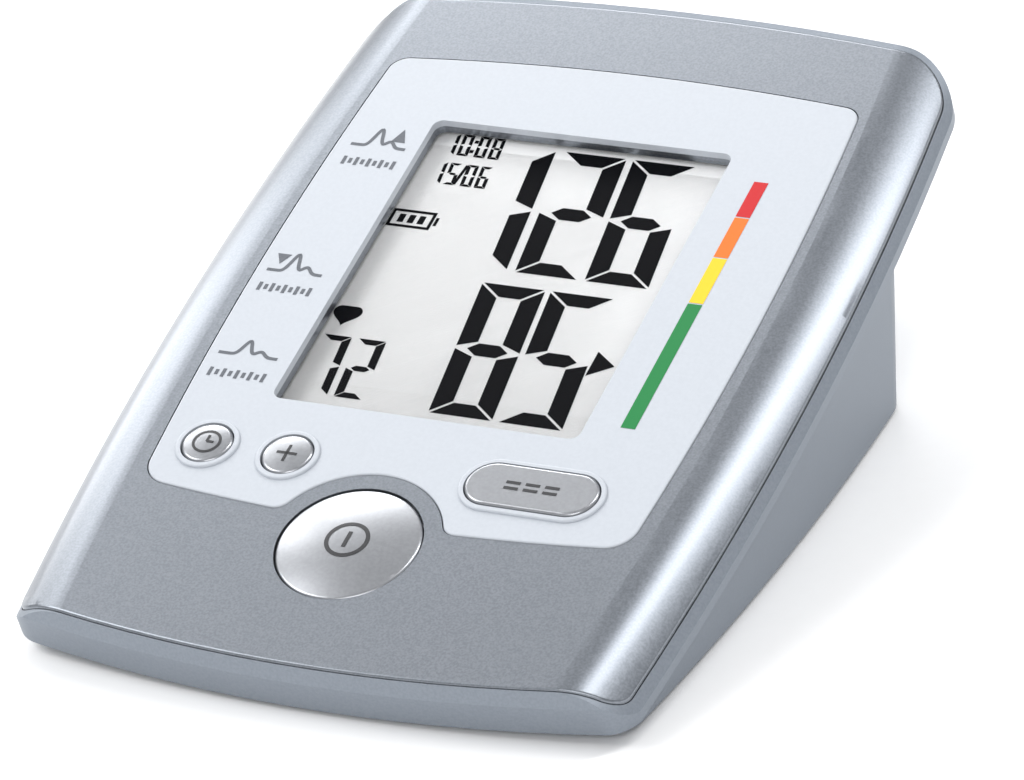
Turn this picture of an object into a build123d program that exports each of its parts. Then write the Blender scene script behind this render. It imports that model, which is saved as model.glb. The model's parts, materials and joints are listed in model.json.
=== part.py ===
from build123d import *
import os
from math import acos, asin, cos, degrees, hypot, radians, sin, sqrt, tan

# Desk blood pressure monitor, millimetres. Most pieces are drawn on the tilted face,
# where x runs across, y up the slope from the front edge and z square to the face.
# The wedge under it, with the pump and the cells, is drawn upright on the desk.

# Overall form
body_width = 103.0
slope_length = 138.7
face_tilt = 15.3
face_height = 7.5
foot_height = 0.8
front_bulge = 4.6
back_bulge = 3.2
side_bulge = 3.4
front_corner_radius = 5.0
back_corner_radius = 10.0

# Rolled sides of the cover
roll_width = 9.8
roll_radius = 11.8
bevel_start = 4.9
bevel_slope = 0.42

# Housing and cover walls
housing_wall = 2.0
tray_floor = 1.7
cover_wall = 2.2
lip_width = 1.1
seam_gap = 0.12
lip_step = 0.35
ledge_height = 1.0
cover_edge_radius = 0.45
small_gap = 0.15

# Wedge under the face
wedge_width = 97.4
wedge_front = 2.6
wedge_back = 106.4
wedge_front_bulge = 4.2
wedge_back_bulge = 2.9
wedge_side_bulge = 1.9
wedge_front_radius = 4.0
wedge_back_radius = 7.0
wedge_draft = 3.6

# Printed fascia let into the cover
fascia_width = 79.8
fascia_front = 28.4
fascia_back = 123.7
fascia_front_bulge = 2.4
fascia_back_bulge = 2.1
fascia_side_bulge = 1.8
fascia_front_radius = 4.5
fascia_back_radius = 3.0
fascia_recess = 1.0
fascia_proud = 0.15
fascia_edge_radius = 0.3
button_bay_margin = 2.9
button_bay_corner = 2.4

# Display, from the opening back to the board
display_x = -1.6
display_y = 79.4
display_width = 48.6
display_length = 59.9
display_corner = 1.6
window_depth = 1.6
window_flange = 2.2
window_thickness = 0.8
glass_thickness = 0.9
glass_margin = 2.0
contact_ledge = 4.5
frame_wall = 2.0
frame_lip = 0.7
frame_ear_radius = 3.0
frame_ear_spread = 23.0
connector_width = 2.4

# Buttons: place on the face and size of the cap
start_x = -1.9
start_y = 24.3
start_radius = 10.6
start_dome = 1.0
set_x = -31.0
plus_x = -18.1
key_y = 38.7
key_radius = 3.8
memory_x = 20.4
memory_straight = 12.2
memory_radius = 4.05
ring_width = 1.0
ring_height = 0.4
cap_gap = 0.2
cap_proud = 0.25
cap_wall = 1.3
cap_edge_radius = 0.5
flange_width = 1.1
flange_thickness = 1.0
post_radius = 1.5
button_travel = 0.5

# Circuit board and what stands on it
board_width = 82.0
board_front = 19.5
board_back = 54.0
board_top = -0.2
board_thickness = 1.6
board_corner = 2.0
board_screw_x = 37.0
board_screw_front = 24.5
board_screw_back = 49.5
switch_size = 6.0
switch_height = 3.3
plunger_radius = 1.65
plunger_height = 0.8
plunger_hidden = 1.2
chip_size = 10.0
chip_height = 1.2
buzzer_radius = 6.0
buzzer_height = 4.0

# Screws
boss_radius = 2.9
screw_radius = 1.1
screw_head_radius = 2.1
screw_head_height = 1.2
screw_length = 5.2
pilot_radius = 0.85
case_screw_x = 40.5
case_screw_front = 15.0
case_screw_rear_x = 37.0
case_screw_back = 127.5
head_gap = 0.25

# Feet
foot_radius = 3.2
foot_recess = 0.6
front_foot_x = 37.0
front_foot_y = 25.0
rear_foot_x = 43.6
rear_foot_y = 90.0

# Cells, their bay and its sliding door
cell_radius = 5.25
cell_length = 44.5
cell_tip_radius = 1.9
cell_tip_length = 1.0
cell_pitch = 10.9
cell_count = 4
cell_gap = 0.3
contact_room = 3.0
contact_thickness = 0.4
contact_width = 7.6
bay_wall = 1.5
bay_left = -13.4
bay_front = 54.6
saddle_depth = 3.0
door_plate = 1.5
door_tongue = 1.1
door_tongue_width = 1.2
door_gap = 0.2
door_lip_height = 3.2
door_lip_wall = 1.6
door_overlap = 1.6
grip_rib_count = 3
grip_rib_pitch = 2.2

# Air pump, valve, rail and tubes
pump_x = -32.5
pump_front = 71.5
motor_width = 20.0
motor_height = 15.2
motor_length = 17.0
head_width = 19.0
head_height = 18.6
head_length = 12.0
head_corner = 2.0
pump_rise = 0.9
band_thickness = 1.0
band_width = 6.0
cradle_thickness = 1.6
cradle_width = 3.0
rail_y = 56.4
rail_radius = 2.6
rail_left = -27.0
rail_right = -14.6
nozzle_radius = 1.3
nozzle_length = 4.0
tube_radius = 2.1
tube_bend = 3.2
pump_tube_x = -16.6
sensor_x = -22.0
sensor_y = 42.5
sensor_size = 7.4
sensor_height = 5.4
valve_x = -38.0
valve_y = 66.0
valve_length = 12.0
valve_width = 8.2
valve_height = 8.6

# Socket for the cuff hose in the left wall
socket_radius = 4.0
socket_flange = 5.0
socket_flange_thickness = 1.2
socket_bore = 2.3
socket_depth = 11.0
socket_seal_radius = 0.45

half_width = body_width / 2
tilt = radians(face_tilt)
face_plane = Plane(origin=(0, 0, foot_height), x_dir=(1, 0, 0), z_dir=(0, -sin(tilt), cos(tilt)))
side_chord = slope_length - front_bulge - back_bulge
side_middle = front_bulge + side_chord / 2
cover_inside = face_height - cover_wall
fascia_top = face_height + fascia_proud
key_top = fascia_top + ring_height + cap_proud
window_top = fascia_top - window_depth
glass_top = cover_inside - window_thickness
glass_bottom = glass_top - 2 * glass_thickness
frame_bottom = glass_bottom - frame_lip
board_bottom = board_top - board_thickness
switch_top = board_top + switch_height
post_bottom = switch_top + plunger_height
floor_top = foot_height + housing_wall
start_bay_radius = start_radius + button_bay_margin
case_screw_spots = [
    (-case_screw_x, case_screw_front),
    (case_screw_x, case_screw_front),
    (-case_screw_rear_x, case_screw_back),
    (case_screw_rear_x, case_screw_back),
]
board_screw_spots = [
    (side * board_screw_x, place)
    for side in (-1, 1)
    for place in (board_screw_front, board_screw_back)
]
frame_ear_x = display_width / 2 + glass_margin + frame_wall + frame_ear_radius
frame_screw_spots = [
    (display_x + side * frame_ear_x, display_y + end * frame_ear_spread)
    for side in (-1, 1)
    for end in (-1, 1)
]
foot_spots = [
    (side * x, y)
    for side in (-1, 1)
    for x, y in ((front_foot_x, front_foot_y), (rear_foot_x, rear_foot_y))
]

# Bay and door, upright on the desk
cell_z = foot_height + door_plate + door_tongue + cell_gap + cell_radius
bay_inner_left = bay_left + bay_wall
bay_inner_right = bay_inner_left + cell_length + 2 * contact_room
bay_right = bay_inner_right + bay_wall
bay_inner_front = bay_front + bay_wall
bay_inner_back = bay_inner_front + cell_count * cell_pitch
bay_ceiling = cell_z + cell_radius + cell_gap
bay_roof = bay_ceiling + 1.2
door_left = bay_inner_left + door_tongue_width
door_right = bay_inner_right - door_tongue_width
door_front = bay_inner_front - door_overlap
cell_spots = [bay_inner_front + cell_pitch * (step + 0.5) for step in range(cell_count)]
cell_middle = (bay_inner_left + bay_inner_right) / 2

# Air line: the sensor's nozzle lies along the board, and the rail sits on its line
sensor_nozzle_z = board_bottom - sensor_height + nozzle_radius + 0.4
sensor_nozzle = face_plane.from_local_coords(Vector(sensor_x, sensor_y + sensor_size / 2, sensor_nozzle_z))
rail_z = sensor_nozzle.Z + (rail_y - sensor_nozzle.Y) * tan(tilt)
pump_z = floor_top + pump_rise + band_thickness + motor_height / 2
head_front = pump_front + motor_length
head_nozzle_y = head_front + head_length / 2


def face_z(y, z):
    """Height above the desk of a point on the face frame, straight over desk place y."""
    return foot_height + y * tan(tilt) + z / cos(tilt)


def bow_radius(chord, bow):
    """Radius of an arc from its chord and its height."""
    return ((chord / 2) ** 2 + bow ** 2) / (2 * bow)


def meeting_point(first, first_radius, second, second_radius, near):
    """Where two circles cross, of the two points the one nearest to near."""
    across = second - first
    along = (first_radius ** 2 - second_radius ** 2 + across.length ** 2) / (2 * across.length)
    aside = sqrt(first_radius ** 2 - along ** 2)
    foot = first + across.normalized() * along
    square = across.normalized().cross(Vector(0, 0, 1)) * aside
    return min((foot + square, foot - square), key=lambda point: (point - near).length)


def barrel(width, front, back, front_bow, back_bow, side_bow, front_radius, back_radius, inset=0):
    """Four gently bowed edges with rounded corners, all drawn in by inset."""
    half = width / 2
    corner = half - side_bow
    low = front + front_bow
    high = back - back_bow
    middle = (low + high) / 2
    side_arc = bow_radius(high - low, side_bow)
    front_arc = bow_radius(2 * corner, front_bow)
    back_arc = bow_radius(2 * corner, back_bow)
    side_centre = Vector(half - side_arc, middle)
    front_right = meeting_point(
        side_centre, side_arc - inset, Vector(0, front + front_arc), front_arc - inset, Vector(corner, low)
    )
    back_right = meeting_point(
        side_centre, side_arc - inset, Vector(0, back - back_arc), back_arc - inset, Vector(corner, high)
    )
    front_left = Vector(-front_right.X, front_right.Y)
    back_left = Vector(-back_right.X, back_right.Y)
    plan = make_face([
        ThreePointArc(front_left, (0, front + inset), front_right),
        ThreePointArc(front_right, (half - inset, middle), back_right),
        ThreePointArc(back_right, (0, back - inset), back_left),
        ThreePointArc(back_left, (inset - half, middle), front_left),
    ])
    plan = fillet([v for v in plan.vertices() if v.Y < middle], front_radius - inset)
    return fillet([v for v in plan.vertices() if v.Y > back_right.Y - 1], back_radius - inset)


def rim_plan(inset):
    """Outline of the face, drawn in by inset."""
    return barrel(
        body_width, 0, slope_length, front_bulge, back_bulge, side_bulge,
        front_corner_radius, back_corner_radius, inset,
    )


def fascia_plan(growth):
    """Outline of the printed fascia, with the round bay that the large button sits in."""
    plan = barrel(
        fascia_width, fascia_front, fascia_back, fascia_front_bulge, fascia_back_bulge,
        fascia_side_bulge, fascia_front_radius, fascia_back_radius, -growth,
    )
    bay_radius = start_bay_radius - growth
    plan -= Pos(start_x, start_y) * Circle(bay_radius)
    bay_corners = [v for v in plan.vertices() if abs(hypot(v.X - start_x, v.Y - start_y) - bay_radius) < 0.01]
    return fillet(bay_corners, button_bay_corner + growth)


def slab(plan, low, high):
    """A flat plan made solid between two heights."""
    return Pos(0, 0, low) * extrude(plan, high - low)


def block(x_low, x_high, y_low, y_high, z_low, z_high):
    """A square block between its limits."""
    size = (x_high - x_low, y_high - y_low, z_high - z_low)
    middle = ((x_low + x_high) / 2, (y_low + y_high) / 2, (z_low + z_high) / 2)
    return Pos(*middle) * Box(*size)


def rod(radius, x, y, low, high):
    """An upright cylinder between two heights."""
    return Pos(x, y, low) * Cylinder(radius, high - low, align=(Align.CENTER, Align.CENTER, Align.MIN))


def on_face(shape):
    """Carry a shape from the tilted face's frame to the desk."""
    return face_plane.location * shape


def crown(lower):
    """All that lies under the cover's surface: flat in the middle, rolled down along both bowed
    sides. Each side is turned about the middle of its own bow. lower sinks the surface."""
    top = face_height - lower
    radius = roll_radius - lower
    flat_end = half_width - roll_width
    sweep = radians(78)
    foot_x = flat_end + radius * sin(sweep)
    foot_z = top - radius * (1 - cos(sweep))
    knee_x = flat_end + radius * sin(sweep / 2)
    knee_z = top - radius * (1 - cos(sweep / 2))
    deep = -2 * slope_length * tan(tilt)
    far = -body_width
    section_plane = Plane(origin=(0, side_middle, 0), x_dir=(1, 0, 0), z_dir=(0, -1, 0))
    section = make_face([
        ThreePointArc((flat_end, top), (knee_x, knee_z), (foot_x, foot_z)),
        Polyline((foot_x, foot_z), (foot_x, deep), (far, deep), (far, top), (flat_end, top)),
    ])
    arc_radius = bow_radius(side_chord, side_bulge)
    turn = 2 * degrees(asin(slope_length / arc_radius))
    axis = Axis((half_width - arc_radius, side_middle, 0), (0, 0, 1))
    right = revolve(section_plane * section, axis, turn).rotate(axis, -turn / 2)
    return right & mirror(right, Plane.YZ)


def front_lean():
    """All that lies behind the housing's front, whose upper strip leans back."""
    low, high = -2 * slope_length * tan(tilt), face_height + 1
    front_arc_radius = bow_radius(body_width - 2 * side_bulge, front_bulge)
    back = front_arc_radius - 1.5 * slope_length
    section = make_face(Polyline(
        (back, low),
        (front_arc_radius + (bevel_start - low) * bevel_slope, low),
        (front_arc_radius + (bevel_start - high) * bevel_slope, high),
        (back, high),
        close=True,
    ))
    section_plane = Plane(origin=(0, front_arc_radius, 0), x_dir=(0, -1, 0), z_dir=(-1, 0, 0))
    turn = 2 * degrees(asin(body_width / front_arc_radius))
    axis = Axis((0, front_arc_radius, 0), (0, 0, 1))
    return revolve(section_plane * section, axis, turn).rotate(axis, -turn / 2)


def outer_rim(solid, lowest):
    """Edges where the upper surface of a solid turns down into its sides."""
    upper = [f for f in solid.faces() if f.normal_at().Z > 0.2 and f.bounding_box().max.Z > lowest]
    side = [f for f in solid.faces() if abs(f.normal_at().Z) <= 0.2]
    side_edges = [edge for face in side for edge in face.edges()]
    upper_edges = [edge for face in upper for edge in face.edges()]
    return ShapeList(e for e in upper_edges if any(e.is_same(o) for o in side_edges))


def wedge(inset, low, high):
    """The wedge's drafted outline between two heights above the desk."""
    bottom = wedge_plan(inset - (low - foot_height) * tan(radians(wedge_draft)))
    top = wedge_plan(inset - (high - foot_height) * tan(radians(wedge_draft)))
    return loft([Pos(0, 0, low) * bottom, Pos(0, 0, high) * top])


def wedge_plan(inset):
    """Outline of the wedge at the desk, drawn in by inset."""
    return barrel(
        wedge_width, wedge_front, wedge_back, wedge_front_bulge, wedge_back_bulge,
        wedge_side_bulge, wedge_front_radius, wedge_back_radius, inset,
    )


def under_face(height):
    """Everything below a height on the tilted face."""
    reach = 2 * slope_length
    return on_face(block(-reach, reach, -reach, reach, height - reach, height))


def cap_profile(radius, crown_top, edge_top):
    """Half section of a round button: domed skin, skirt, flange and the post on the switch."""
    flange_top = cover_inside - 0.05
    flange_low = flange_top - flange_thickness
    ceiling = edge_top - cap_wall
    inner = radius - cap_wall
    return make_face([
        ThreePointArc(
            (0, crown_top),
            (radius / 2, edge_top + 0.75 * (crown_top - edge_top)),
            (radius, edge_top),
        ),
        Polyline(
            (radius, edge_top), (radius, flange_top), (radius + flange_width, flange_top),
            (radius + flange_width, flange_low), (inner, flange_low), (inner, ceiling),
            (post_radius, ceiling), (post_radius, post_bottom), (0, post_bottom), (0, crown_top),
        ),
    ])


def round_cap(x, y, radius, crown_top, edge_top):
    """A round button, turned about its own middle."""
    section = Plane.XZ * cap_profile(radius, crown_top, edge_top)
    cap = revolve(section, Axis.Z)
    rim = [e for e in cap.edges().filter_by(GeomType.CIRCLE) if is_ring(e, radius, edge_top)]
    cap = fillet(rim, cap_edge_radius)
    return Pos(x, y, 0) * cap


def is_ring(edge, radius, height):
    """True for the full circle of this radius at this height."""
    return abs(edge.radius - radius) < 0.01 and abs(edge.center().Z - height) < 0.01


def pill(straight, radius, growth):
    """Plan of the long button, grown all round."""
    return Pos(memory_x, key_y) * SlotCenterToCenter(straight, 2 * (radius + growth))


def switch_spots():
    """Place on the face of the switch under each button."""
    return {
        "start_stop": (start_x, start_y),
        "set": (set_x, key_y),
        "plus": (plus_x, key_y),
        "memory": (memory_x, key_y),
    }


def make_top_cover():
    """Silver shell with rolled sides, let in for the fascia, open for display and buttons."""
    inset = lip_width + seam_gap
    shell = slab(rim_plan(inset), ledge_height, face_height + 1) & crown(0)
    shell = fillet(outer_rim(shell, ledge_height + 1), cover_edge_radius)
    shell -= slab(rim_plan(inset + cover_wall), -1, face_height + 1) & crown(cover_wall)
    shell -= slab(fascia_plan(small_gap), face_height - fascia_recess, face_height + 1)
    shell -= slab(display_opening(0), cover_inside - 1, face_height + 1)
    shell -= rod(start_radius + cap_gap, start_x, start_y, cover_inside - 1, face_height + 1)
    for x in (set_x, plus_x):
        shell -= rod(key_radius + cap_gap, x, key_y, cover_inside - 1, face_height + 1)
    shell -= slab(pill(memory_straight, memory_radius, cap_gap), cover_inside - 1, face_height + 1)
    for x, y in case_screw_spots:
        shell += rod(boss_radius, x, y, boss_seat(y), cover_inside + 0.3)
    for x, y in board_screw_spots:
        shell += rod(boss_radius, x, y, board_top, cover_inside + 0.3)
    for x, y in frame_screw_spots:
        shell += rod(boss_radius, x, y, glass_bottom, cover_inside + 0.3)
    for x, y in case_screw_spots:
        shell -= rod(pilot_radius, x, y, boss_seat(y) - 1, boss_seat(y) + screw_length - 1)
    for x, y in board_screw_spots:
        shell -= rod(pilot_radius, x, y, board_top - 1, board_top + screw_length - 1)
    for x, y in frame_screw_spots:
        shell -= rod(pilot_radius, x, y, glass_bottom - 1, glass_bottom + screw_length - 1.4)
    return on_face(shell)


def boss_seat(y):
    """Height on the face frame where a case screw's boss meets the housing."""
    if y > slope_length / 2:
        return tray_floor + 0.9
    return (housing_wall - (y - boss_radius) * sin(tilt)) / cos(tilt) + small_gap


def display_opening(growth):
    """Rounded window for the display."""
    size = (display_width + 2 * growth, display_length + 2 * growth)
    return Pos(display_x, display_y) * RectangleRounded(*size, display_corner + growth)


def make_fascia():
    """Light grey printed panel with a raised ring round each small button."""
    panel = slab(fascia_plan(0), face_height - fascia_recess, fascia_top)
    panel = fillet(panel.edges().group_by(Axis.Z)[-1], fascia_edge_radius)
    for x in (set_x, plus_x):
        panel += rod(key_radius + ring_width, x, key_y, face_height, fascia_top + ring_height)
    ring = pill(memory_straight, memory_radius, ring_width)
    panel += slab(ring, face_height, fascia_top + ring_height)
    rings = panel.edges().group_by(Axis.Z)[-1]
    panel = fillet(rings, ring_height * 0.8)
    low, high = face_height - fascia_recess - 1, key_top
    for x in (set_x, plus_x):
        panel -= rod(key_radius + cap_gap, x, key_y, low, high)
    panel -= slab(pill(memory_straight, memory_radius, cap_gap), low, high)
    panel -= slab(display_opening(0), low, high)
    return on_face(panel)


def make_display_window():
    """Clear plate: a flange under the cover and a step that fills the opening."""
    plate = slab(display_opening(window_flange), glass_top, cover_inside)
    plate += slab(display_opening(-small_gap), cover_inside, window_top)
    return on_face(plate)


def glass_plan(shorter, growth=0):
    """Display glass, cut short at its lower end."""
    width = display_width + 2 * (glass_margin + growth)
    length = display_length + 2 * (glass_margin + growth) - shorter
    return Pos(display_x, display_y + shorter / 2) * Rectangle(width, length)


def make_display_panel():
    """Two glasses; the rear one is short and bares the contact ledge."""
    middle = glass_top - glass_thickness
    panel = slab(glass_plan(0), middle, glass_top)
    panel += slab(glass_plan(contact_ledge), glass_bottom, middle)
    return on_face(panel)


def make_display_frame():
    """Tray that holds the glass up against the window, with four screw ears."""
    width = display_width + 2 * (glass_margin + frame_wall)
    length = display_length + 2 * (glass_margin + frame_wall)
    outer = Pos(display_x, display_y) * RectangleRounded(width, length, frame_wall)
    frame = slab(outer, frame_bottom, glass_top - small_gap)
    for x, y in frame_screw_spots:
        inward = x - frame_ear_radius if x > display_x else x + frame_ear_radius
        frame += rod(frame_ear_radius, x, y, frame_bottom, glass_bottom)
        frame += block(
            min(x, inward), max(x, inward), y - frame_ear_radius, y + frame_ear_radius,
            frame_bottom, glass_bottom,
        )
    frame -= slab(glass_plan(0, small_gap), glass_bottom, glass_top + 1)
    lightening = Pos(display_x, display_y + contact_ledge) * Rectangle(
        display_width - 2 * frame_wall, display_length - 2 * contact_ledge
    )
    frame -= slab(lightening, frame_bottom - 1, glass_top)
    frame -= slab(connector_plan(small_gap), frame_bottom - 1, glass_top)
    for x, y in frame_screw_spots:
        frame -= rod(screw_radius + 0.1, x, y, frame_bottom - 1, glass_top)
    return on_face(frame)


def connector_plan(growth):
    """Strip under the display's contact ledge."""
    ledge_y = display_y - display_length / 2 - glass_margin + contact_ledge / 2
    size = (display_width - 2 * frame_wall + 2 * growth, connector_width + 2 * growth)
    return Pos(display_x, ledge_y) * Rectangle(*size)


def make_display_connector():
    """Rubber strip that joins the display's ledge to the board."""
    return on_face(slab(connector_plan(0), board_top, glass_top - glass_thickness))


def make_base_housing():
    """Lower housing: rim round the cover, wedge, battery bay, posts and seats."""
    tray = slab(rim_plan(0), 0, face_height + 1) & crown(lip_step) & front_lean()
    ledge_inset = lip_width + seam_gap + cover_wall + small_gap
    tray -= slab(rim_plan(lip_width), tray_floor, face_height + 1)
    tray -= slab(rim_plan(lip_width), ledge_height, tray_floor + 0.1) - slab(
        rim_plan(ledge_inset), ledge_height - 1, tray_floor + 1
    )
    peak = face_z(wedge_back, 0) + 4
    inner_peak = face_z(wedge_back, housing_wall) + 4
    housing = on_face(tray) + (wedge(0, foot_height, peak) & under_face(0.2))
    cavity = wedge(housing_wall, floor_top, inner_peak) & under_face(tray_floor + 0.05)
    housing -= cavity
    housing += bay_shell() & wedge(housing_wall / 2, foot_height, peak)
    housing -= bay_cavity()
    housing -= door_space()
    for x, y in case_screw_spots[2:]:
        housing += on_face(rod(boss_radius, x, y, tray_floor - 0.5, boss_seat(y)))
    for x, y in case_screw_spots[:2]:
        post = rod(boss_radius, x, y, boss_seat(y) - 2.5, boss_seat(y))
        housing += on_face(post) & block(-99, 99, -99, 99, foot_height + 0.5, 99)
    for x, y in case_screw_spots:
        seat = boss_seat(y) - 1.1
        housing -= on_face(rod(screw_head_radius + head_gap, x, y, seat - 9, seat))
        housing -= on_face(rod(screw_radius + 0.1, x, y, seat - 1, boss_seat(y) + 0.5))
    for x, y in foot_spots:
        housing -= rod(foot_radius + 0.05, x, y, foot_height - 1, foot_height + foot_recess)
    housing += pump_cradle()
    housing += valve_seat()
    housing -= socket_hole()
    return housing


def bay_shell():
    """Walls and scalloped roof of the battery bay."""
    return block(bay_left, bay_right, bay_front, wedge_back, foot_height + 0.5, bay_roof)


def bay_cavity():
    """Room for the cells, with saddles between them under the roof."""
    saddle_z = bay_ceiling - saddle_depth
    room = block(
        bay_inner_left, bay_inner_right, bay_inner_front, bay_inner_back,
        floor_top - 1, saddle_z,
    )
    for side in (bay_inner_left, bay_inner_right - contact_room):
        room += block(side, side + contact_room, bay_inner_front, bay_inner_back, saddle_z - 1, bay_ceiling)
    for y in cell_spots:
        groove = Cylinder(cell_radius + cell_gap, bay_inner_right - bay_inner_left)
        room += Pos(cell_middle, y, cell_z) * Rot(0, 90, 0) * groove
    return room


def door_section(gap, front, back):
    """The door's plate with a tongue along each side, as a bar from front to back."""
    plate_top = foot_height + door_plate
    plate = block(door_left - gap, door_right + gap, front, back, foot_height - 1, plate_top + door_tongue)
    tongue = block(
        bay_inner_left - gap, bay_inner_right + gap, front, back,
        plate_top - gap, plate_top + door_tongue + gap,
    )
    return plate + tongue


def lip_top():
    """Height of the door's upturned end."""
    return foot_height + door_plate + door_tongue + door_lip_height


def door_space():
    """Slot that the door slides in, open through the back wall."""
    space = door_section(door_gap, door_front, wedge_back + 5)
    space -= block(
        bay_inner_left - 1, bay_inner_right + 1, door_front - 1, bay_inner_front,
        foot_height + door_plate, cell_z,
    )
    space += block(
        bay_inner_left - door_gap, bay_inner_right + door_gap, bay_inner_back - 1, wedge_back + 5,
        foot_height + door_plate, lip_top() + door_gap,
    )
    return space


def make_battery_door():
    """Sliding door: plate, side tongues and an upturned end in line with the back wall."""
    tongue_top = foot_height + door_plate + door_tongue
    door = door_section(0, door_front, wedge_back + 5)
    door += block(
        bay_inner_left, bay_inner_right, bay_inner_back - 1, wedge_back + 5,
        foot_height + door_plate, lip_top(),
    )
    door &= wedge(0.1, foot_height, tongue_top + 20)
    door -= block(
        door_left + bay_wall, door_right - bay_wall, door_front - 1, bay_inner_back - 2,
        foot_height + door_plate, tongue_top + 1,
    )
    door -= block(
        bay_inner_left - 1, bay_inner_right + 1, door_front - 1, bay_inner_front + door_gap,
        foot_height + door_plate, tongue_top + 1,
    )
    back_wall = wedge(door_lip_wall, foot_height, tongue_top + 20)
    door -= back_wall & block(
        bay_inner_left - 1, bay_inner_right + 1, bay_inner_back - 2, wedge_back,
        tongue_top, lip_top() + 1,
    )
    for step in range(grip_rib_count):
        y = door_front + 8 + step * grip_rib_pitch
        groove = Pos(cell_middle, y, foot_height) * SlotOverall(12, grip_rib_pitch / 2)
        door -= extrude(groove, grip_rib_pitch / 5)
    return door


def make_cell(y, flipped):
    """One round cell with its raised tip."""
    can = Cylinder(cell_radius, cell_length - cell_tip_length)
    can = fillet(can.edges(), 0.4)
    tip = Pos(0, 0, cell_length / 2) * Cylinder(cell_tip_radius, cell_tip_length)
    cell = can + tip
    turn = -90 if flipped else 90
    return Pos(cell_middle, y, cell_z) * Rot(0, turn, 0) * Pos(0, 0, -cell_tip_length / 2) * cell


def pump_cradle():
    """Two saddles under the motor and one pad under the pump's head."""
    cradle = None
    low = floor_top - 0.5
    seat = pump_z - motor_height / 2 - band_thickness
    half = motor_width / 2 + band_thickness
    for side in (-1, 1):
        edge = pump_x + side * half
        wall = block(
            min(edge, edge + side * cradle_thickness), max(edge, edge + side * cradle_thickness),
            pump_front + 4, pump_front + 4 + band_width, low, pump_z,
        )
        cradle = wall if cradle is None else cradle + wall
    pads = [
        block(pump_x - half, pump_x + half, pump_front + 4, pump_front + 4 + band_width, low, seat),
        block(
            pump_x - head_width / 4, pump_x + head_width / 4, head_front + 2,
            head_front + 2 + cradle_width, low, head_bottom(),
        ),
    ]
    return cradle + pads


def head_bottom():
    """Underside of the pump's head."""
    return floor_top + pump_rise


def valve_seat():
    """Pedestal under the valve."""
    return block(
        valve_x - valve_length / 4, valve_x + valve_length / 4, valve_y - valve_width / 3,
        valve_y + valve_width / 3, floor_top - 0.5, valve_z() - valve_height / 2,
    )


def valve_z():
    """Height of the valve's middle, level with the air rail."""
    return rail_z


def make_pump_motor():
    """Motor can with two flat sides, shaft boss and two terminals."""
    can = Circle(motor_width / 2) & Rectangle(motor_width, motor_height)
    section = Plane(origin=(pump_x, pump_front, pump_z), x_dir=(1, 0, 0), z_dir=(0, 1, 0))
    motor = section.location * extrude(can, motor_length)
    boss = section.location * (Pos(0, 0, -1.2) * extrude(Circle(3), 1.2))
    motor += boss
    for side in (-1, 1):
        motor += block(
            pump_x + side * 5.5 - 0.8, pump_x + side * 5.5 + 0.8, pump_front - 2.2, pump_front,
            pump_z - 0.2, pump_z + 0.2,
        )
    return motor


def make_pump_head():
    """Diaphragm head behind the motor, with its outlet on the side of the tube."""
    low = head_bottom()
    head = block(
        pump_x - head_width / 2, pump_x + head_width / 2, head_front, head_front + head_length,
        low, low + head_height,
    )
    head = fillet(head.edges().filter_by(Axis.Y), head_corner)
    for step in (1, 2):
        y = head_front + step * head_length / 3
        groove = block(-99, 99, y - 0.2, y + 0.2, -99, 99)
        core = block(
            pump_x - head_width / 2 + 0.5, pump_x + head_width / 2 - 0.5, head_front,
            head_front + head_length, low + 0.5, low + head_height - 0.5,
        )
        head -= groove - core
    return head + nozzle((pump_x + head_width / 2, head_nozzle_y, rail_z), (1, 0, 0))


def nozzle(start, direction):
    """Barbed hose nozzle that stands out from start."""
    section = make_face(Polyline(
        (0, -0.5), (nozzle_radius, -0.5), (nozzle_radius, nozzle_length * 0.55),
        (nozzle_radius * 1.25, nozzle_length * 0.6), (nozzle_radius * 0.85, nozzle_length),
        (0, nozzle_length), close=True,
    ))
    barb = revolve(Plane.XZ * section, Axis.Z)
    return Plane(origin=start, z_dir=direction).location * barb


def make_pump_band():
    """Rubber band round the motor, in its cradle."""
    can = Circle(motor_width / 2) & Rectangle(motor_width, motor_height)
    ring = offset(can, amount=band_thickness) - can
    section = Plane(origin=(pump_x, pump_front + 4, pump_z), x_dir=(1, 0, 0), z_dir=(0, 1, 0))
    return section.location * extrude(ring, band_width)



def socket_place(depth):
    """Frame at the hose socket's mouth, moved in by depth; its z axis points in."""
    wall_x = socket_wall_x()
    return Plane(origin=(wall_x + depth, rail_y, rail_z), x_dir=(0, 1, 0), z_dir=(1, 0, 0))


def socket_wall_x():
    """Place of the left wall's outer surface at the foot of the socket's flange."""
    rise = rail_z - socket_flange - foot_height
    return -wedge_plan_half_width(rail_y - socket_flange) - rise * tan(radians(wedge_draft))


def wedge_plan_half_width(y):
    """Half width of the wedge at the desk, at one place along it."""
    low = wedge_front + wedge_front_bulge
    high = wedge_back - wedge_back_bulge
    arc = bow_radius(high - low, wedge_side_bulge)
    return wedge_width / 2 - arc + sqrt(arc ** 2 - (y - (low + high) / 2) ** 2)


def socket_hole():
    """Hole in the left wall for the barrel, with a flat seat for the flange."""
    hole = Pos(0, 0, -6) * extrude(Circle(socket_radius + 0.1), 12)
    hole += Pos(0, 0, -6) * extrude(Circle(socket_flange + 0.1), 6)
    return socket_place(0).location * hole


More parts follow.
